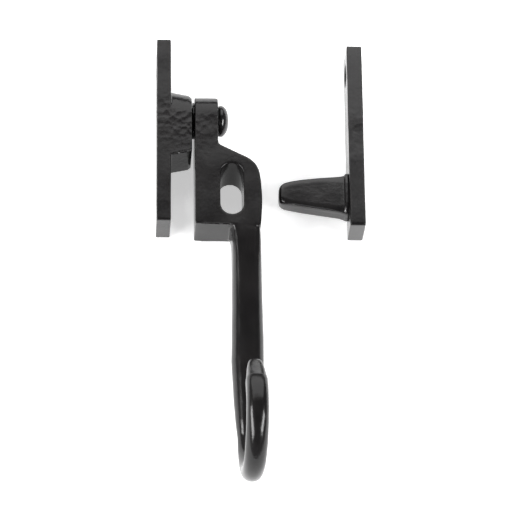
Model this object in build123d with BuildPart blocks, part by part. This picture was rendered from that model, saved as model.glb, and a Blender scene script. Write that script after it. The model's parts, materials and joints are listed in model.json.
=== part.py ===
import os
from math import cos, radians, sin

from build123d import *

# Night-vent casement fastener: a backplate with a boss, a cranked handle that ends in a
# shepherd's crook and turns on a riveted pivot, and a separate keep with a tapered hook.
# Frame: the origin is the centre of the backplate's back face. +X points out of the sash,
# +Y up the plate and +Z to the side that the crook curls to. Sizes are in millimetres.

# Backplate and its boss
plate_length = 70.0
plate_width = 16.4
plate_thickness = 5.0
plate_corner = 0.8
edge_round = 0.4
pivot_height = 6.8
boss_top_at_plate = 10.5
boss_top_at_face = 8.7
boss_bottom_at_plate = 16.8
boss_bottom_at_face = 15.3
boss_round = 0.9
screw_spacing = 50.0

# Wood screws that hold both plates
screw_hole = 4.5
screw_head = 8.0
screw_cone_angle = 90.0

# Pivot rivet and spring washer
rivet_diameter = 6.0
rivet_head_diameter = 11.2
rivet_head_height = 3.9
rivet_rim_height = 1.1
rivet_rim_tuck = 0.9
rivet_tail_diameter = 9.0
tail_slope = 45.0
washer_diameter = 13.0
washer_metal = 0.6
washer_dish = 0.3
turning_clearance = 0.05

# Handle
handle_width = 16.4
head_thickness = 8.2
head_drop = 12.3
shoulder_depth = 22.4
shoulder_drop = 20.0
outer_drop = 32.5
nose_depth = 23.2
nose_drop = 43.0
shoulder_round = 5.0
outer_round = 20.0
neck_round = 1.5
handle_round = 0.7
slot_width = 8.2
slot_length = 19.4
slot_depth = 12.9
slot_drop = 29.4
slot_draft = 1.4
shank_diameter = 10.6
shank_offset = 18.1
shank_root_depth = 15.6
shank_root_round = 4.5
shank_root_length = 28.0
taper_drop = 91.0
crook_drop = 118.9
crook_diameter = 7.5
crook_radius = 16.6
crook_arc = 212.0
crook_lean = 2.6
tip_length = 8.0
tip_diameter = 5.0

# Keep
keep_distance = 67.6
keep_length = 69.6
keep_width = 14.6
keep_thickness = 5.4
keep_rise = -0.5
keep_screw_from_end = 8.6
hook_reach = 24.6
hook_play = 0.9
closing_play = 1.1
hook_base_height = 14.2
hook_tip_height = 9.0
hook_tip_round = 3.3
hook_edge_round = 0.8
hook_from_end = 13.5
collar_lip = 1.0
collar_thickness = 1.5
collar_corner = 3.0
tenon_diameter = 6.0
tenon_tail_diameter = 8.0

os.makedirs("parts", exist_ok=True)

# Places that several pieces share. The hook fits the nose's slot when the window is vented,
# and the gap between the backplate and the nose when it is closed.
hook_thickness = slot_width - hook_play
handle_back = plate_thickness + hook_thickness + closing_play
washer_height = washer_metal + washer_dish
boss_face = handle_back - washer_height - 2 * turning_clearance
handle_front = handle_back + head_thickness
rivet_head_seat = handle_front + turning_clearance
running_bore = rivet_diameter + 2 * turning_clearance
bench_level = -plate_width / 2
keep_centre_z = bench_level + keep_width / 2
hook_rise = keep_rise - keep_length / 2 + hook_from_end
pivot_axis = Axis((0, pivot_height, 0), (1, 0, 0))


def face_plane(x, y=0.0, z=0.0):
    """A sketch plane that faces +X, with its own x along Y and its own y along Z."""
    return Plane(origin=(x, y, z), x_dir=(0, 1, 0), z_dir=(1, 0, 0))


def plate_blank(length, width, thickness, plane):
    """A flat bar with slightly rounded ends and eased edges."""
    with BuildPart() as blank:
        with BuildSketch(plane):
            RectangleRounded(length, width, plate_corner)
        extrude(amount=thickness)
        fillet(blank.faces().sort_by(Axis.X)[-1].edges(), edge_round)
    return blank.part


def boss_outline(plane, top, bottom):
    """The boss's end view: a round top about the pivot and a square foot."""
    half = handle_width / 2
    with BuildSketch(plane) as outline:
        with BuildLine():
            Line((0, -half), (-bottom, -half))
            Line((-bottom, -half), (-bottom, half))
            Line((-bottom, half), (0, half))
            EllipticalCenterArc((0, 0), top, half, start_angle=-90, arc_size=180)
        make_face()
    return outline.sketch


# Backplate: a flat bar with the boss forged on its front, bored for the rivet
boss_foot = boss_outline(
    face_plane(plate_thickness / 2, pivot_height), boss_top_at_plate, boss_bottom_at_plate
)
boss_front = boss_outline(
    face_plane(boss_face, pivot_height), boss_top_at_face, boss_bottom_at_face
)
with BuildPart() as boss:
    loft([boss_foot, boss_front])
    fillet(boss.faces().sort_by(Axis.X)[-1].edges(), boss_round)

tail_depth = (rivet_tail_diameter - rivet_diameter) / 2
with BuildPart() as backplate:
    add(plate_blank(plate_length, plate_width, plate_thickness, face_plane(0)))
    add(boss.part)
    with Locations(face_plane(plate_thickness)):
        with Locations((screw_spacing / 2, 0), (-screw_spacing / 2, 0)):
            CounterSinkHole(screw_hole / 2, screw_head / 2, counter_sink_angle=screw_cone_angle)
    with BuildSketch(face_plane(0, pivot_height)):
        Circle(rivet_diameter / 2)
    extrude(amount=boss_face, mode=Mode.SUBTRACT)
    with BuildSketch(face_plane(0, pivot_height)):
        Circle(rivet_tail_diameter / 2)
    extrude(amount=tail_depth, taper=tail_slope, mode=Mode.SUBTRACT)
backplate.part.label = "backplate"

# Pivot rivet: domed head in front of the handle, tail closed flush in the plate's back
shank_radius = rivet_diameter / 2
rim_radius = rivet_head_diameter / 2
rim_x = rivet_head_seat + rivet_rim_height
crown_x = rivet_head_seat + rivet_head_height
dome_rise = crown_x - rim_x
dome_radius = (rim_radius**2 + dome_rise**2) / (2 * dome_rise)
with BuildPart() as pivot_rivet:
    with BuildSketch(Plane.XY):
        with BuildLine():
            Polyline(
                (crown_x, pivot_height),
                (0, pivot_height),
                (0, pivot_height + rivet_tail_diameter / 2),
                (tail_depth, pivot_height + shank_radius),
                (rivet_head_seat, pivot_height + shank_radius),
                (rivet_head_seat, pivot_height + rim_radius - rivet_rim_tuck),
                (rim_x, pivot_height + rim_radius),
            )
            RadiusArc((rim_x, pivot_height + rim_radius), (crown_x, pivot_height), dome_radius)
        make_face()
    revolve(axis=pivot_axis)
pivot_rivet.part.label = "pivot_rivet"

# Spring washer: a dished disc that presses the handle against the rivet's head
washer_back = boss_face + turning_clearance
with BuildPart() as spring_washer:
    with BuildSketch(Plane.XY):
        with BuildLine():
            Polyline(
                (washer_back, pivot_height + running_bore / 2),
                (washer_back + washer_metal, pivot_height + running_bore / 2),
                (washer_back + washer_height, pivot_height + washer_diameter / 2),
                (washer_back + washer_dish, pivot_height + washer_diameter / 2),
                close=True,
            )
        make_face()
    revolve(axis=pivot_axis)
spring_washer.part.label = "spring_washer"

# Handle blank: the side outline of head, shoulder and slotted nose, rounded about the pivot
shank_x = handle_back + shank_offset
shank_front = shank_x + shank_diameter / 2
neck_point = (handle_front, pivot_height - head_drop)
shoulder_point = (handle_back + shoulder_depth, pivot_height - shoulder_drop)
outer_point = (handle_back + nose_depth, pivot_height - outer_drop)
nose_bottom = pivot_height - nose_drop
half_width = handle_width / 2

with BuildPart() as nose_blank:
    with BuildSketch(Plane.XY.offset(-half_width)) as outline:
        with BuildLine():
            Polyline(
                (handle_back, pivot_height + half_width),
                (handle_front, pivot_height + half_width),
                neck_point,
                shoulder_point,
                outer_point,
                (shank_front, nose_bottom),
                (handle_back, nose_bottom),
                close=True,
            )
        make_face()
        fillet(outline.vertices().sort_by_distance(neck_point)[0], neck_round)
        fillet(outline.vertices().sort_by_distance(shoulder_point)[0], shoulder_round)
        fillet(outline.vertices().sort_by_distance(outer_point)[0], outer_round)
    extrude(amount=handle_width)
    with BuildSketch(face_plane(0, pivot_height)):
        with BuildLine():
            Line((0, -half_width), (-nose_drop, -half_width))
            Line((-nose_drop, -half_width), (-nose_drop, half_width))
            Line((-nose_drop, half_width), (0, half_width))
            CenterArc((0, 0), half_width, start_angle=-90, arc_size=180)
        make_face()
    extrude(amount=handle_back + nose_depth + shank_diameter, mode=Mode.INTERSECT)
    fillet(nose_blank.edges(), handle_round)

# Handle: the blank with its bore and slot, the round shank and the crook
crook_start = (shank_x, pivot_height - crook_drop, 0)
crook_out = Vector(sin(radians(crook_lean)), 0, cos(radians(crook_lean)))
crook_centre = Vector(*crook_start) + crook_out * crook_radius
crook_axis = Axis(crook_centre, (-crook_out.Z, 0, crook_out.X))
crook_turn = radians(crook_arc)
crook_end = crook_centre - (crook_out * cos(crook_turn) + Vector(0, sin(crook_turn), 0)) * crook_radius
tip_plane = Plane(origin=crook_end, z_dir=crook_out * sin(crook_turn) - Vector(0, cos(crook_turn), 0))
tip_end_plane = tip_plane.offset(tip_length)
slot_x = handle_back + slot_depth
slot_y = pivot_height - slot_drop


def shank_plane(drop):
    """A sketch plane square to the shank, so far below the pivot, its own y along Z."""
    return Plane(origin=(shank_x, pivot_height - drop, 0), x_dir=(1, 0, 0), z_dir=(0, -1, 0))


with BuildPart() as handle:
    add(nose_blank.part)
    with BuildSketch(shank_plane(nose_drop - shank_root_length / 2)):
        RectangleRounded(shank_diameter, shank_root_depth, shank_root_round)
    with BuildSketch(shank_plane(nose_drop + shank_root_length)):
        Circle(shank_diameter / 2)
    loft()
    with BuildSketch(shank_plane(nose_drop + shank_root_length)):
        Circle(shank_diameter / 2)
    extrude(amount=taper_drop - nose_drop - shank_root_length)
    with BuildSketch(shank_plane(taper_drop)):
        Circle(shank_diameter / 2)
    with BuildSketch(shank_plane(crook_drop)):
        Circle(crook_diameter / 2)
    loft()
    with BuildSketch(shank_plane(crook_drop)):
        Circle(crook_diameter / 2)
    revolve(axis=crook_axis, revolution_arc=crook_arc)
    with BuildSketch(tip_plane):
        Circle(crook_diameter / 2)
    with BuildSketch(tip_end_plane):
        Circle(tip_diameter / 2)
    loft()
    with Locations(tip_end_plane.origin):
        Sphere(tip_diameter / 2)
    with BuildSketch(face_plane(handle_back, pivot_height)):
        Circle(running_bore / 2)
    extrude(amount=head_thickness, mode=Mode.SUBTRACT)
    with BuildSketch(Plane.XY.offset(half_width)):
        with Locations((slot_x, slot_y)):
            SlotOverall(slot_length, slot_width, rotation=90)
    with BuildSketch(Plane.XY.offset(-half_width)):
        with Locations((slot_x, slot_y - slot_draft / 2)):
            SlotOverall(slot_length - slot_draft, slot_width, rotation=90)
    loft(mode=Mode.SUBTRACT)
handle.part.label = "handle"

# Keep plate: a flat bar with one screw hole and a hole for the hook's tenon
keep_front_plane = Plane(
    origin=(keep_distance, keep_rise, keep_centre_z), x_dir=(0, 1, 0), z_dir=(-1, 0, 0)
)
keep_back_plane = keep_front_plane.offset(-keep_thickness)
tenon_rise = hook_from_end - keep_length / 2
tenon_tail_depth = (tenon_tail_diameter - tenon_diameter) / 2
with BuildPart() as keep_plate:
    add(plate_blank(keep_length, keep_width, keep_thickness, keep_back_plane))
    with Locations(keep_front_plane):
        with Locations((keep_length / 2 - keep_screw_from_end, 0)):
            CounterSinkHole(screw_hole / 2, screw_head / 2, counter_sink_angle=screw_cone_angle)
    with BuildSketch(face_plane(keep_distance, hook_rise, keep_centre_z)):
        Circle(tenon_diameter / 2)
    extrude(amount=keep_thickness, mode=Mode.SUBTRACT)
    with BuildSketch(keep_back_plane):
        with Locations((tenon_rise, 0)):
            Circle(tenon_tail_diameter / 2)
    extrude(amount=tenon_tail_depth, taper=tail_slope, mode=Mode.SUBTRACT)
keep_plate.part.label = "keep_plate"

# Hook: a tapered blade with a collar, riveted into the keep plate by its round tenon
with BuildPart() as collar:
    with BuildSketch(face_plane(keep_distance - collar_thickness, hook_rise, keep_centre_z)):
        RectangleRounded(
            hook_base_height + 2 * collar_lip, hook_thickness + 2 * collar_lip, collar_corner
        )
    extrude(amount=collar_thickness)
    fillet(collar.faces().sort_by(Axis.X)[0].edges(), edge_round)

tip_x = keep_distance - hook_reach
with BuildPart() as keep_hook:
    with BuildSketch(Plane.XY.offset(keep_centre_z - hook_thickness / 2)) as blade:
        with BuildLine():
            Polyline(
                (keep_distance, hook_rise + hook_base_height / 2),
                (tip_x, hook_rise + hook_tip_height / 2),
                (tip_x, hook_rise - hook_tip_height / 2),
                (keep_distance, hook_rise - hook_base_height / 2),
                close=True,
            )
        make_face()
        fillet(blade.vertices().group_by(Axis.X)[0], hook_tip_round)
    extrude(amount=hook_thickness)
    free_edges = keep_hook.edges().filter_by(lambda edge: edge.center().X < keep_distance - collar_thickness)
    fillet(free_edges, hook_edge_round)
    add(collar.part)
    with BuildSketch(face_plane(keep_distance, hook_rise, keep_centre_z)):
        Circle(tenon_diameter / 2)
    extrude(amount=keep_thickness)
    with BuildSketch(keep_back_plane):
        with Locations((tenon_rise, 0)):
            Circle(tenon_tail_diameter / 2)
    extrude(amount=tenon_tail_depth, taper=tail_slope)
keep_hook.part.label = "keep_hook"

for piece in (backplate, pivot_rivet, spring_washer, handle, keep_plate, keep_hook):
    export_step(piece.part, f"parts/{piece.part.label}.step")
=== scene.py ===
import json
from math import cos, pi, radians, sin

import bmesh
import bpy
from mathutils import Matrix, Vector, noise


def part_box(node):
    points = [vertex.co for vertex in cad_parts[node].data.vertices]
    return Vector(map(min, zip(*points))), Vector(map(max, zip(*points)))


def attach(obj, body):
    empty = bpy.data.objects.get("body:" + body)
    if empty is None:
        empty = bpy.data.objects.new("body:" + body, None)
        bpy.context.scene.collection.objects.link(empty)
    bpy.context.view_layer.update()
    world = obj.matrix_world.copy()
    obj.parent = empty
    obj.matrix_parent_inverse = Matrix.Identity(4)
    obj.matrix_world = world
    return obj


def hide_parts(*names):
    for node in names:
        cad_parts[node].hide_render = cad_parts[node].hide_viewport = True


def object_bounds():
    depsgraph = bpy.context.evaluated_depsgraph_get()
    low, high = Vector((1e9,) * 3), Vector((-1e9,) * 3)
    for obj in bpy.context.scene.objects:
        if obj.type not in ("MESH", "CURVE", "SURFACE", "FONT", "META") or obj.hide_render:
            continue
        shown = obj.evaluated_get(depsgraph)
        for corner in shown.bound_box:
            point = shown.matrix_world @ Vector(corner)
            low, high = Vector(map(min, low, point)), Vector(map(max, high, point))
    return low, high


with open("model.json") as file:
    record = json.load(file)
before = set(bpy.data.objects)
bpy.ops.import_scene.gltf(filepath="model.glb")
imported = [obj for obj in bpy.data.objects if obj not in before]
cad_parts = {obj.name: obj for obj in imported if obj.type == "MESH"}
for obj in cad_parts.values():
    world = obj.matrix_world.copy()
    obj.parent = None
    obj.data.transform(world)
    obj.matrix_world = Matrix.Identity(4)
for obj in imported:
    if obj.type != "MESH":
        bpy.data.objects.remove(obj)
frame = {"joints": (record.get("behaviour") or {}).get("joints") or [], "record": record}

size_at_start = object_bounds()

# Studio: a pale table top that glows faintly, so that shadows stay soft, a wide soft panel
# behind the fastener and one at each side. The walls are a dim grey, darker overhead.
table_level = size_at_start[0][2]
table_reach = 0.6


def new_object(name, bm):
    """A mesh object made from a bmesh, linked to the scene."""
    mesh = bpy.data.meshes.new(name)
    bmesh.ops.recalc_face_normals(bm, faces=bm.faces)
    bm.to_mesh(mesh)
    bm.free()
    obj = bpy.data.objects.new(name, mesh)
    bpy.context.collection.objects.link(obj)
    return obj


def new_material(name):
    """A material with a Principled shader. Gives the material, its node tree and the shader."""
    material = bpy.data.materials.new(name)
    material.use_nodes = True
    tree = material.node_tree
    return material, tree, tree.nodes["Principled BSDF"]


bm = bmesh.new()
bmesh.ops.create_grid(bm, x_segments=8, y_segments=8, size=table_reach)
bmesh.ops.translate(bm, vec=(0, 0, table_level), verts=bm.verts)
table = new_object("table_top", bm)
table_paint, tree, shader = new_material("pale table paint")
shader.inputs["Base Color"].default_value = (0.86, 0.86, 0.86, 1)
shader.inputs["Roughness"].default_value = 0.7
shader.inputs["Emission Color"].default_value = (1.0, 1.0, 1.0, 1)
shader.inputs["Emission Strength"].default_value = 0.52
table.data.materials.append(table_paint)

room = bpy.data.worlds.new("studio room")
room.use_nodes = True
tree = room.node_tree
ambient = tree.nodes["Background"]
direction = tree.nodes.new("ShaderNodeTexCoord")
height = tree.nodes.new("ShaderNodeSeparateXYZ")
tree.links.new(direction.outputs["Generated"], height.inputs["Vector"])
walls = tree.nodes.new("ShaderNodeValToRGB")
walls.color_ramp.interpolation = "EASE"
walls.color_ramp.elements[0].position = 0.10
walls.color_ramp.elements[0].color = (0.22, 0.22, 0.23, 1)
walls.color_ramp.elements[1].position = 0.60
walls.color_ramp.elements[1].color = (0.08, 0.08, 0.085, 1)
tree.links.new(height.outputs["Z"], walls.inputs["Fac"])
tree.links.new(walls.outputs["Color"], ambient.inputs["Color"])
ambient.inputs["Strength"].default_value = 1.0
bpy.context.scene.world = room


def soft_panel(name, centre, target, width, height, brightness):
    """A rectangular soft light of even brightness, turned to face a target point."""
    light = bpy.data.lights.new(name, "AREA")
    light.shape = "RECTANGLE"
    light.size = width
    light.size_y = height
    light.energy = brightness * pi * width * height
    lamp = bpy.data.objects.new(name, light)
    bpy.context.collection.objects.link(lamp)
    lamp.location = centre
    lamp.rotation_euler = (Vector(target) - Vector(centre)).to_track_quat("-Z", "Y").to_euler()
    return lamp


soft_panel("back_panel", (0.05, 1.07, 0.93), (0.05, 0, 0), 2.2, 1.25, 1.85)
soft_panel("left_panel", (-1.2, -0.45, 0.78), (0, -0.1, 0), 1.3, 0.55, 15.0)
soft_panel("right_panel", (1.2, -0.55, 0.95), (0, -0.1, 0), 1.0, 0.55, 15.0)

# Camera: a long lens looking down at the table from in front of the crook.
camera_data = bpy.data.cameras.new("camera")
camera = bpy.data.objects.new("camera", camera_data)
bpy.context.collection.objects.link(camera)
camera_data.sensor_width = 36.0
camera_data.lens = 225.16
camera_data.clip_end = 20.0
tilt = radians(22.754)
lean = radians(3.273)
roll = radians(-0.656)
distance = 1.12286
aim = Vector((0.03534, -0.04541, 0.0))
away = Vector((-sin(lean) * cos(tilt), -sin(tilt), cos(lean) * cos(tilt)))
right = Vector((0, 1, 0)).cross(away).normalized()
up = away.cross(right)
turned_right = cos(roll) * right + sin(roll) * up
turned_up = cos(roll) * up - sin(roll) * right
place = Matrix((turned_right, turned_up, away)).transposed().to_4x4()
place.translation = aim + away * distance
camera.matrix_world = place
bpy.context.scene.camera = camera
bpy.context.scene.view_settings.view_transform = "Standard"

# Backplate: a flat forged bar with the pivot boss standing on its front, drilled for the
# rivet and for two countersunk screws. Hammer-marked steel under black baked enamel.
MM = 0.001
plate_low, plate_high = (Vector(corner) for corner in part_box("backplate"))
handle_pivot = next(joint for joint in frame["joints"] if joint["name"] == "handle_pivot")
pivot = Vector(handle_pivot["pos_m"])


def outline_prism(points, push):
    """A bmesh made by drawing a closed outline and pushing it along a straight line."""
    bm = bmesh.new()
    face = bm.faces.new([bm.verts.new(point) for point in points])
    grown = bmesh.ops.extrude_face_region(bm, geom=[face])
    moved = [item for item in grown["geom"] if isinstance(item, bmesh.types.BMVert)]
    bmesh.ops.translate(bm, vec=push, verts=moved)
    return bm


def ring_loft(rings):
    """A closed bmesh skinned over rings of points that all have the same count."""
    bm = bmesh.new()
    rows = [[bm.verts.new(point) for point in ring] for ring in rings]
    count = len(rows[0])
    for near, far in zip(rows, rows[1:]):
        for i in range(count):
            bm.faces.new((near[i], near[(i + 1) % count], far[(i + 1) % count], far[i]))
    bm.faces.new(rows[0])
    bm.faces.new(rows[-1])
    return bm


def apply_modifiers(obj):
    """Turns the modifiers of an object into its mesh."""
    view = bpy.context.evaluated_depsgraph_get()
    mesh = bpy.data.meshes.new_from_object(obj.evaluated_get(view))
    old = obj.data
    obj.modifiers.clear()
    obj.data = mesh
    bpy.data.meshes.remove(old)


def combine(obj, bm, how):
    """Joins another bmesh to an object: how is UNION, DIFFERENCE or INTERSECT."""
    tool = new_object("tool", bm)
    step = obj.modifiers.new("join", "BOOLEAN")
    step.operation = how
    step.solver = "EXACT"
    step.object = tool
    apply_modifiers(obj)
    bpy.data.objects.remove(tool)


def lathe(profile, centre, segments):
    """A closed bmesh turned about the X axis through centre. profile holds (x, radius)."""
    turns = [2 * pi * i / segments for i in range(segments)]
    return ring_loft([
        [Vector((x, centre.y + radius * cos(a), centre.z + radius * sin(a))) for a in turns]
        for x, radius in profile
    ])


def section(centre, across, beside, half_across, half_beside, squareness):
    """A ring of points round a bar: 2 gives an ellipse, more gives a squarer bar."""
    ring = []
    for i in range(40):
        turn = 2 * pi * i / 40
        c, s = cos(turn), sin(turn)
        a = half_across * (abs(c) ** (2 / squareness)) * (1 if c >= 0 else -1)
        b = half_beside * (abs(s) ** (2 / squareness)) * (1 if s >= 0 else -1)
        ring.append(centre + across * a + beside * b)
    return ring


def enamel_run(obj, start, end, size, seed):
    """Adds a thin uneven run of enamel that has gathered along an edge from start to end."""
    rings = []
    side, over = Vector((0, 1, 0)), Vector((0, 0, 1))
    count = int((end - start).length / (0.12 * MM))
    for i in range(count + 1):
        share = i / count
        lump = noise.noise(Vector((seed, 0, share * (end - start).length / (0.9 * MM))))
        girth = size * (1 + 0.6 * lump) * max(0.1, min(1, 6 * share, 6 * (1 - share)))
        rings.append(section(start.lerp(end, share), side, over, girth, girth, 2.0))
    run = new_object("run", ring_loft(rings))
    bm = bmesh.new()
    bm.from_mesh(obj.data)
    bm.from_mesh(run.data)
    bm.to_mesh(obj.data)
    bm.free()
    bpy.data.objects.remove(run)
    obj.data.shade_smooth()


# The wander of the pits is drawn from a seed that otherwise comes from the clock. A fixed one
# keeps the pits in place from run to run.
noise.seed_set(1)


def forge(obj, grain, passes, waves, pits, worked, reach):
    """Fuses a rough shape into one skin with softened edges, then marks it. grain is the
    skin's mesh size and passes sets how soft the edges get. waves and pits each hold
    (size, depth, seed): slow unevenness, and hammer pits that fade out past reach from the
    worked point."""
    skin = obj.modifiers.new("skin", "REMESH")
    skin.mode = "VOXEL"
    skin.voxel_size = grain
    soft = obj.modifiers.new("soft", "SMOOTH")
    soft.factor = 0.5
    soft.iterations = passes
    apply_modifiers(obj)
    mesh = obj.data
    wave_size, wave_depth, wave_seed = waves
    pit_size, pit_depth, pit_seed = pits
    moved = []
    for vertex in mesh.vertices:
        shift = wave_depth * noise.noise(vertex.co / wave_size + Vector((wave_seed, 0, 0)))
        share = max(0.1, min(1.0, 2.0 - (vertex.co - worked).length / reach))
        wander = noise.noise_vector(vertex.co / (0.8 * pit_size)) * 0.35
        near = noise.voronoi(vertex.co / pit_size + wander + Vector((0, pit_seed, 0)))[0]
        shift += share * pit_depth * (min(near[0] ** 2, 0.6) - 0.3)
        moved.append(vertex.co + vertex.normal * shift)
    for vertex, place in zip(mesh.vertices, moved):
        vertex.co = place
    mesh.shade_smooth()


def black_enamel(name, seed, gloss):
    """Black baked enamel: deep black with a faint cloudy tone, an orange-peel surface, fine
    grain and duller patches of wear. gloss sets how strongly the coat reflects."""
    material, tree, shader = new_material(name)
    shader.inputs["Specular IOR Level"].default_value = gloss
    nodes, links = tree.nodes, tree.links

    def cloud(scale, detail, shift):
        texture = nodes.new("ShaderNodeTexNoise")
        texture.noise_dimensions = "4D"
        texture.inputs["W"].default_value = seed + shift
        texture.inputs["Scale"].default_value = scale
        texture.inputs["Detail"].default_value = detail
        links.new(where.outputs["Object"], texture.inputs["Vector"])
        return texture.outputs["Fac"]

    def spread(source, low, high):
        scale = nodes.new("ShaderNodeMapRange")
        scale.inputs["From Min"].default_value = 0.3
        scale.inputs["From Max"].default_value = 0.7
        scale.inputs["To Min"].default_value = low
        scale.inputs["To Max"].default_value = high
        links.new(source, scale.inputs["Value"])
        return scale.outputs["Result"]

    def add(first, second):
        total = nodes.new("ShaderNodeMath")
        links.new(first, total.inputs[0])
        links.new(second, total.inputs[1])
        return total.outputs["Value"]

    where = nodes.new("ShaderNodeTexCoord")
    tone = nodes.new("ShaderNodeMix")
    tone.data_type = "RGBA"
    tone.inputs["A"].default_value = (0.0052, 0.0048, 0.0049, 1)
    tone.inputs["B"].default_value = (0.0098, 0.0090, 0.0090, 1)
    links.new(spread(cloud(90.0, 4.0, 0.0), 0.0, 1.0), tone.inputs["Factor"])
    links.new(tone.outputs["Result"], shader.inputs["Base Color"])
    wear = spread(cloud(140.0, 3.0, 3.1), 0.15, 0.23)
    links.new(add(wear, spread(cloud(1400.0, 2.0, 5.7), -0.02, 0.03)), shader.inputs["Roughness"])
    peel = nodes.new("ShaderNodeBump")
    peel.inputs["Strength"].default_value = 0.18
    peel.inputs["Distance"].default_value = 0.00012
    links.new(cloud(900.0, 2.0, 8.3), peel.inputs["Height"])
    grain = nodes.new("ShaderNodeBump")
    grain.inputs["Strength"].default_value = 0.2
    grain.inputs["Distance"].default_value = 0.00003
    links.new(cloud(3200.0, 2.0, 11.9), grain.inputs["Height"])
    links.new(peel.outputs["Normal"], grain.inputs["Normal"])
    links.new(grain.outputs["Normal"], shader.inputs["Normal"])
    return material


plate_thickness = 5.0 * MM
boss_face = plate_high.x
plate_half = (plate_high.z - plate_low.z) / 2


def plate_outline(low, high, corner, x):
    """The outline of a flat bar with slightly rounded ends, drawn at a given x."""
    points = []
    corners = ((high.y, high.z), (low.y, high.z), (low.y, low.z), (high.y, low.z))
    for start, (along, across) in enumerate(corners):
        side_y = -1 if along > 0 else 1
        side_z = -1 if across > (low.z + high.z) / 2 else 1
        for i in range(5):
            turn = (start + i / 4) * pi / 2
            points.append(Vector((
                x,
                along + side_y * corner + corner * cos(turn),
                across + side_z * corner + corner * sin(turn),
            )))
    return points


def boss_ring(x, top, bottom):
    """The boss's end view at a given x: a round top about the pivot and a square foot."""
    ring = [Vector((x, pivot.y - bottom, plate_half)), Vector((x, pivot.y - bottom, -plate_half))]
    for i in range(25):
        turn = -pi / 2 + pi * i / 24
        ring.append(Vector((x, pivot.y + top * cos(turn), plate_half * sin(turn))))
    return ring


plate_ends = plate_outline(plate_low, plate_high, 0.5 * MM, 0)
backplate = new_object("forged_backplate", outline_prism(plate_ends, (plate_thickness, 0, 0)))
boss = ring_loft([
    boss_ring(2.0 * MM, 10.5 * MM, 17.0 * MM),
    boss_ring(plate_thickness, 10.3 * MM, 16.8 * MM),
    boss_ring(boss_face - 1.0 * MM, 9.0 * MM, 15.5 * MM),
    boss_ring(boss_face, 8.0 * MM, 14.6 * MM),
])
combine(backplate, boss, "UNION")
hole_segments = 48
screw_radius = 2.25 * MM
screw_from_middle = 25 * MM
screw_cut = [(-1 * MM, screw_radius), (3.25 * MM, screw_radius), (5 * MM, 4 * MM), (7 * MM, 6 * MM)]
for screw_y in (screw_from_middle, -screw_from_middle):
    combine(backplate, lathe(screw_cut, Vector((0, screw_y, 0)), hole_segments), "DIFFERENCE")
running_radius = 3.1 * MM
rivet_cut = [(-1 * MM, 5.6 * MM), (1.6 * MM, running_radius), (20 * MM, running_radius)]
combine(backplate, lathe(rivet_cut, pivot, hole_segments), "DIFFERENCE")
boss_middle = Vector(((plate_thickness + boss_face) / 2, pivot.y - 3 * MM, 0))
plate_waves, plate_pits = (9 * MM, 0.10 * MM, 3.0), (2.2 * MM, 0.13 * MM, 9.0)
forge(backplate, 0.28 * MM, 3, plate_waves, plate_pits, boss_middle, 8 * MM)
enamel_run(
    backplate,
    Vector((5.2 * MM, pivot.y - 16.75 * MM, plate_half - 0.25 * MM)),
    Vector((11.9 * MM, pivot.y - 15.1 * MM, plate_half - 0.25 * MM)),
    0.4 * MM,
    5.0,
)
backplate.data.materials.append(black_enamel("black enamel on backplate", 1.0, 0.41))
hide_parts("backplate")
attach(backplate, "backplate")

# Pivot rivet: a steel rivet with a domed, slightly hammered head, set through washer,
# handle and backplate and closed over in the plate's back. Enamelled with the rest.
rivet_low, rivet_high = (Vector(corner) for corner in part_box("pivot_rivet"))
dome_radius = (rivet_high.y - rivet_low.y) / 2
head_seat = rivet_high.x - 3.9 * MM
rivet_radius = 3 * MM
rivet_profile = [
    (0, 4.3 * MM),
    (0.1 * MM, 4.5 * MM),
    (1.5 * MM, rivet_radius),
    (head_seat, rivet_radius),
    (head_seat, dome_radius - 0.9 * MM),
    (head_seat + 0.35 * MM, dome_radius - 0.25 * MM),
]
dome_steps = 16
for i in range(dome_steps + 1):
    turn = i / dome_steps * pi / 2 * 0.985
    rivet_profile.append((head_seat + 1.1 * MM + 2.8 * MM * sin(turn), dome_radius * cos(turn) ** 0.9))
pivot_rivet = new_object("domed_rivet", lathe(rivet_profile, pivot, 96))
forge(pivot_rivet, 0.14 * MM, 4, (4 * MM, 0.08 * MM, 21.0), (3 * MM, 0.04 * MM, 22.0), pivot, 30 * MM)
pivot_rivet.data.materials.append(black_enamel("black enamel on rivet", 2.0, 0.5))
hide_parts("pivot_rivet")
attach(pivot_rivet, "backplate")

# Spring washer: a thin dished steel disc between boss and handle. Its pressure on the
# handle gives the stiff, smooth turning. Coated black, hidden but for its rim.
washer_low, washer_high = (Vector(corner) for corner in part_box("spring_washer"))
washer_radius = (washer_high.y - washer_low.y) / 2
washer_rise = 0.3 * MM
washer_segments = 96
washer_turns = [2 * pi * i / washer_segments for i in range(washer_segments)]
bm = bmesh.new()
rows = []
for x, radius in (
    (washer_low.x, running_radius),
    (washer_low.x + washer_rise / 2, (washer_radius + running_radius) / 2),
    (washer_low.x + washer_rise, washer_radius - 0.1 * MM),
    (washer_low.x + washer_rise + 0.1 * MM, washer_radius),
    (washer_high.x - 0.1 * MM, washer_radius),
    (washer_high.x, washer_radius - 0.1 * MM),
    (washer_high.x - washer_rise / 2, (washer_radius + running_radius) / 2),
    (washer_high.x - washer_rise, running_radius),
):
    rows.append([bm.verts.new((x, pivot.y + radius * cos(a), radius * sin(a))) for a in washer_turns])
for near, far in zip(rows, rows[1:] + rows[:1]):
    for i in range(washer_segments):
        after = (i + 1) % washer_segments
        bm.faces.new((near[i], near[after], far[after], far[i]))
spring_washer = new_object("dished_washer", bm)
spring_washer.data.shade_smooth()
spring_washer.data.materials.append(black_enamel("black coat on washer", 3.0, 0.4))
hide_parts("spring_washer")
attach(spring_washer, "backplate")

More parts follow.
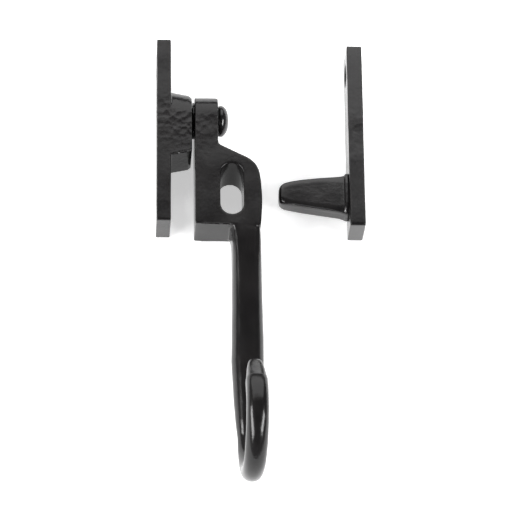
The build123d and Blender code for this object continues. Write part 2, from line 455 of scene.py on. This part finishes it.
# Handle: one forging. A flat head turns on the rivet, a cranked shoulder carries the
# slotted nose, and a round shank leaves the nose flush and curls into the crook.
handle_low, handle_high = (Vector(corner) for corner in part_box("handle"))
handle_back = handle_low.x
head_radius = handle_high.y - pivot.y
handle_half = -handle_low.z


def softened(points, radii):
    """An outline with its corners rounded off. radii holds one size for each corner."""
    result = []
    for i, point in enumerate(points):
        before = (points[i - 1] - point).normalized() * radii[i]
        after = (points[(i + 1) % len(points)] - point).normalized() * radii[i]
        steps = 9 if radii[i] else 1
        for k in range(steps):
            s = k / max(1, steps - 1)
            result.append(point + before * (1 - s) ** 2 + after * s**2)
    return result


def side_point(depth, drop):
    """A point of the handle's side outline: depth from its back, drop below the pivot."""
    return Vector((handle_back + depth * MM, pivot.y - drop * MM, -handle_half))


side_outline = softened(
    [
        Vector((handle_back, handle_high.y, -handle_half)),
        Vector((handle_back + 8.2 * MM, handle_high.y, -handle_half)),
        side_point(8.2, 12.3),
        side_point(22.2, 19.4),
        side_point(23.6, 31.0),
        side_point(22.9, 43.2),
        side_point(0, 42.8),
    ],
    [0, 2.0 * MM, 1.2 * MM, 4.8 * MM, 5.5 * MM, 0, 0],
)
handle = new_object("forged_handle", outline_prism(side_outline, (0, 0, 2 * handle_half)))
end_outline = [
    Vector((handle_back - MM, handle_low.y, -handle_half)),
    Vector((handle_back - MM, handle_low.y, handle_half)),
]
for i in range(33):
    turn = pi / 2 - pi * i / 32
    rise = pivot.y + head_radius * cos(turn)
    end_outline.append(Vector((handle_back - MM, rise, head_radius * sin(turn))))
combine(handle, outline_prism(end_outline, (30 * MM, 0, 0)), "INTERSECT")
bore_cut = [(handle_back - MM, running_radius), (handle_back + 10 * MM, running_radius)]
combine(handle, lathe(bore_cut, pivot, hole_segments), "DIFFERENCE")

shank_x = handle_back + 18.1 * MM
sideways = Vector((1, 0, 0))
upward = Vector((0, 0, 1))
shank_rings = []
for drop, half_x, half_z, squareness, shift in (
    (32.0, 4.9, 8.2, 8.0, -0.3),
    (41.0, 5.5, 8.22, 6.0, -0.85),
    (43.0, 5.35, 8.22, 5.5, -0.65),
    (45.0, 5.2, 8.2, 5.0, -0.3),
    (48.0, 5.15, 8.08, 4.4, -0.1),
    (54.0, 5.15, 7.65, 3.6, 0.0),
    (61.0, 5.2, 7.0, 3.0, 0.0),
    (72.0, 5.35, 6.2, 2.6, 0.05),
    (83.0, 5.55, 5.7, 2.3, 0.1),
    (91.0, 5.6, 5.5, 2.2, 0.0),
    (98.0, 5.3, 5.3, 2.1, 0.0),
    (106.0, 4.8, 4.8, 2.0, -0.1),
    (113.5, 4.25, 4.3, 2.0, -0.1),
):
    centre = Vector((shank_x + shift * MM, pivot.y - drop * MM, 0))
    shank_rings.append(section(centre, sideways, upward, half_x * MM, half_z * MM, squareness))
crook_radius = 16.6 * MM
crook_arc = 212
crook_steps = 52
tube_radius = 3.75 * MM
crook_lean = radians(2.6)
outward = Vector((sin(crook_lean), 0, cos(crook_lean)))
crook_side = Vector((cos(crook_lean), 0, -sin(crook_lean)))
downward = Vector((0, -1, 0))
crook_centre = Vector((shank_x, pivot.y - 118.9 * MM, 0)) + outward * crook_radius
for i in range(crook_steps + 1):
    turn = radians(crook_arc * i / crook_steps)
    centre = crook_centre - outward * (crook_radius * cos(turn)) + downward * (crook_radius * sin(turn))
    inward = outward * cos(turn) - downward * sin(turn)
    squareness = 2.0 + 0.8 * max(0, i - 36) / 16
    shank_rings.append(section(centre, crook_side, inward, tube_radius, tube_radius, squareness))
heading = outward * sin(turn) + downward * cos(turn)
tip_start = centre
for along, half_side, half_in in (
    (2.0, 3.45, 3.4),
    (5.5, 3.15, 3.0),
    (8.0, 2.8, 2.6),
    (9.5, 2.5, 2.3),
    (10.5, 2.2, 1.9),
    (11.1, 1.6, 1.3),
    (11.3, 0.9, 0.7),
):
    centre = tip_start + heading * along * MM
    shank_rings.append(section(centre, crook_side, inward, half_side * MM, half_in * MM, 3.0))
combine(handle, ring_loft(shank_rings), "UNION")

slot_x = handle_back + 12.9 * MM
slot_half = 4.1 * MM
slot_rings = []
for level, top_drop in ((-handle_half - MM, 21.2), (handle_half + MM, 19.6)):
    ring = []
    for end_drop, start in ((top_drop, 0.0), (39.1, pi)):
        end_y = pivot.y - end_drop * MM - (slot_half if start == 0.0 else -slot_half)
        for i in range(13):
            turn = start + pi * i / 12
            ring.append(Vector((slot_x + slot_half * cos(turn), end_y + slot_half * sin(turn), level)))
    slot_rings.append(ring)
combine(handle, ring_loft(slot_rings), "DIFFERENCE")
forge(handle, 0.34 * MM, 3, (9 * MM, 0.09 * MM, 33.0), (2.5 * MM, 0.09 * MM, 39.0), pivot, 10 * MM)
enamel_run(
    handle,
    Vector((handle_back + 0.4 * MM, pivot.y - 42.72 * MM, handle_half - 0.2 * MM)),
    Vector((handle_back + 14.0 * MM, pivot.y - 42.92 * MM, handle_half - 0.2 * MM)),
    0.42 * MM,
    12.0,
)
handle.data.materials.append(black_enamel("black enamel on handle", 4.0, 0.37))
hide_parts("handle")
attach(handle, "handle")

# Keep plate: a flat forged bar that screws to the frame, with one countersunk hole at the
# top and a hole near the bottom for the hook. Hammer-marked steel, enamelled black.
keep_low, keep_high = (Vector(corner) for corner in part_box("keep_plate"))
keep_middle = (keep_low + keep_high) / 2
keep_screw = next(m for m in frame["record"]["mounts"] if m["name"] == "keep_screw")
keep_ends = plate_outline(keep_low, keep_high, 0.6 * MM, keep_low.x)
keep_bar = outline_prism(keep_ends, (keep_high.x - keep_low.x, 0, 0))
keep_plate = new_object("forged_keep_plate", keep_bar)
screw_spot = Vector(keep_screw["pos_m"])
screw_cut = [
    (keep_low.x - 2 * MM, 6.25 * MM),
    (keep_low.x, 4.25 * MM),
    (keep_low.x + 2 * MM, screw_radius),
    (keep_high.x + MM, screw_radius),
]
combine(keep_plate, lathe(screw_cut, screw_spot, hole_segments), "DIFFERENCE")
hook_low, hook_high = (Vector(corner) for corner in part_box("keep_hook"))
hook_spot = (hook_low + hook_high) / 2
tenon_hole_radius = 3.1 * MM
tenon_cut = [
    (keep_low.x - MM, tenon_hole_radius),
    (keep_high.x - MM, tenon_hole_radius),
    (keep_high.x + MM, 5.1 * MM),
]
combine(keep_plate, lathe(tenon_cut, hook_spot, hole_segments), "DIFFERENCE")
keep_waves, keep_pits = (10 * MM, 0.08 * MM, 51.0), (3.0 * MM, 0.05 * MM, 57.0)
forge(keep_plate, 0.28 * MM, 3, keep_waves, keep_pits, keep_middle, 8 * MM)
keep_plate.data.materials.append(black_enamel("black enamel on keep plate", 5.0, 0.62))
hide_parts("keep_plate")
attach(keep_plate, "keep")

# Hook: a tapered forged blade with a round-edged tip that flares into a rough collar. Its
# tenon goes through the keep plate and is riveted over behind. Enamelled black.
hook_rings = []
for reach, high_half, low_half, depth_half, corner in (
    (0.0, 2.3, 2.2, 2.4, 3.0),
    (0.25, 3.1, 3.0, 3.0, 3.2),
    (0.9, 3.8, 3.6, 3.4, 4.2),
    (2.0, 4.35, 4.05, 3.6, 5.5),
    (3.6, 4.75, 4.3, 3.65, 7.0),
    (8.0, 5.5, 5.05, 3.65, 9.0),
    (14.0, 6.2, 5.95, 3.65, 9.0),
    (19.0, 6.65, 6.7, 3.65, 9.0),
    (21.5, 6.9, 7.1, 3.75, 8.0),
    (22.8, 7.2, 7.6, 4.0, 7.0),
    (24.0, 7.4, 7.8, 4.2, 6.0),
):
    rise = hook_spot.y + (high_half - low_half) / 2 * MM
    centre = Vector((hook_low.x + reach * MM, rise, hook_spot.z))
    half_y = (high_half + low_half) / 2 * MM
    hook_rings.append(section(centre, Vector((0, 1, 0)), upward, half_y, depth_half * MM, corner))
keep_hook = new_object("forged_hook", ring_loft(hook_rings))
collar_half_y = (hook_high.y - hook_low.y) / 2
collar_half_z = (hook_high.z - hook_low.z) / 2
collar_rings = []
for x, grow in ((-1.7, -0.9), (-1.3, -0.1), (-0.5, 0.0), (0.0, -0.1)):
    centre = Vector((keep_low.x + x * MM, hook_spot.y, hook_spot.z))
    half_y = collar_half_y + grow * MM
    half_z = collar_half_z + grow * MM
    collar_rings.append(section(centre, Vector((0, 1, 0)), upward, half_y, half_z, 5.0))
combine(keep_hook, ring_loft(collar_rings), "UNION")
tenon = [(keep_low.x - MM, 3 * MM), (keep_high.x - MM, 3 * MM), (keep_high.x, 4 * MM)]
combine(keep_hook, lathe(tenon, hook_spot, hole_segments), "UNION")
collar_spot = Vector((keep_low.x, hook_spot.y, hook_spot.z))
hook_waves, hook_pits = (7 * MM, 0.05 * MM, 71.0), (1.3 * MM, 0.12 * MM, 77.0)
forge(keep_hook, 0.2 * MM, 3, hook_waves, hook_pits, collar_spot, 2.2 * MM)
enamel_run(
    keep_hook,
    Vector((hook_low.x + 2.4 * MM, hook_spot.y - 3.85 * MM, hook_spot.z + 3.4 * MM)),
    Vector((hook_low.x + 21.5 * MM, hook_spot.y - 6.85 * MM, hook_spot.z + 3.4 * MM)),
    0.34 * MM,
    23.0,
)
keep_hook.data.materials.append(black_enamel("black enamel on hook", 6.0, 0.58))
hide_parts("keep_hook")
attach(keep_hook, "keep")
